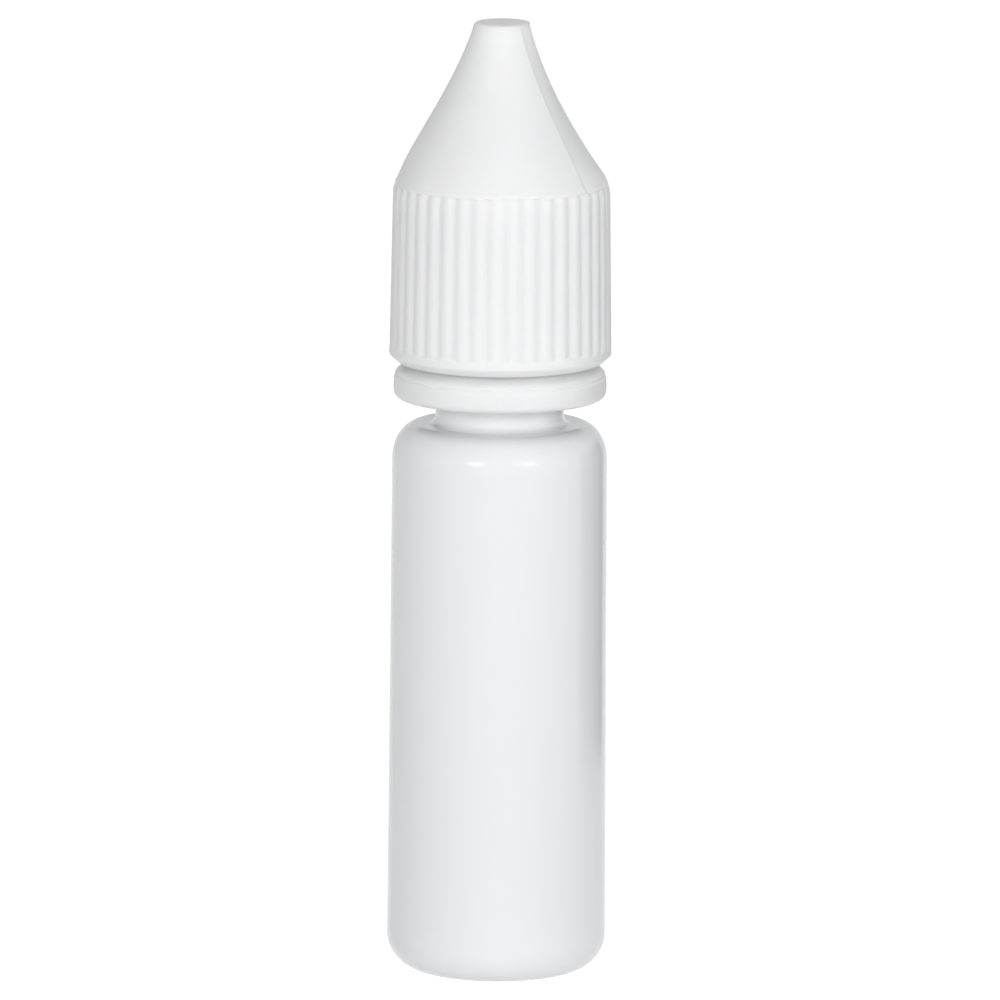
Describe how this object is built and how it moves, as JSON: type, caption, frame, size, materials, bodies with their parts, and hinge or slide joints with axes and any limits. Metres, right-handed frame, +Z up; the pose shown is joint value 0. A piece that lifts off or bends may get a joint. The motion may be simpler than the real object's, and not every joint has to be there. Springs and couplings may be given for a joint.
{
  "type": "squeeze dropper bottle",
  "caption": "Small round squeeze bottle with a dropper tip, a pointed child-resistant screw cap with a fluted skirt, and a tamper-evident band.",
  "frame": {"origin": "on the bottle's axis, at the level of its standing face", "axes": "+Z up the bottle towards the cap's tip, +X towards the recessed facet on the cap's spire, -Y towards the viewer of the picture"},
  "size_m": [0.0224, 0.0224, 0.0963],
  "materials": {
    "bottle_body": "white, soft gloss",
    "tip": "natural white, satin",
    "band": "white, satin",
    "inner_closure": "white, satin",
    "cap": "white, satin"
  },
  "bodies": {
    "bottle": {"bottle": "bottle_body", "dropper_tip": "tip"},
    "band": {"tamper_band": "band"},
    "inner_cap": {"inner_cap": "inner_closure"},
    "outer_cap": {"outer_cap": "cap"}
  },
  "joints": [
    {"name": "cap_turn", "type": "hinge", "parent": "bottle", "child": "band", "pos_m": [0, 0, 0.06], "axis": [0, 0, 1], "range_deg": [0, 450]},
    {"name": "cap_rise", "type": "slide", "parent": "band", "child": "inner_cap", "axis": [0, 0, 1], "range_m": [0, 0.0038]},
    {"name": "push_down", "type": "slide", "parent": "inner_cap", "child": "outer_cap", "axis": [0, 0, 1], "range_m": [-0.0004, 0], "stiffness_N_per_m": 10000}
  ],
  "couplings": [
    {"joint": "cap_rise", "follows": "cap_turn", "m_per_rad": 0.00047746}
  ]
}
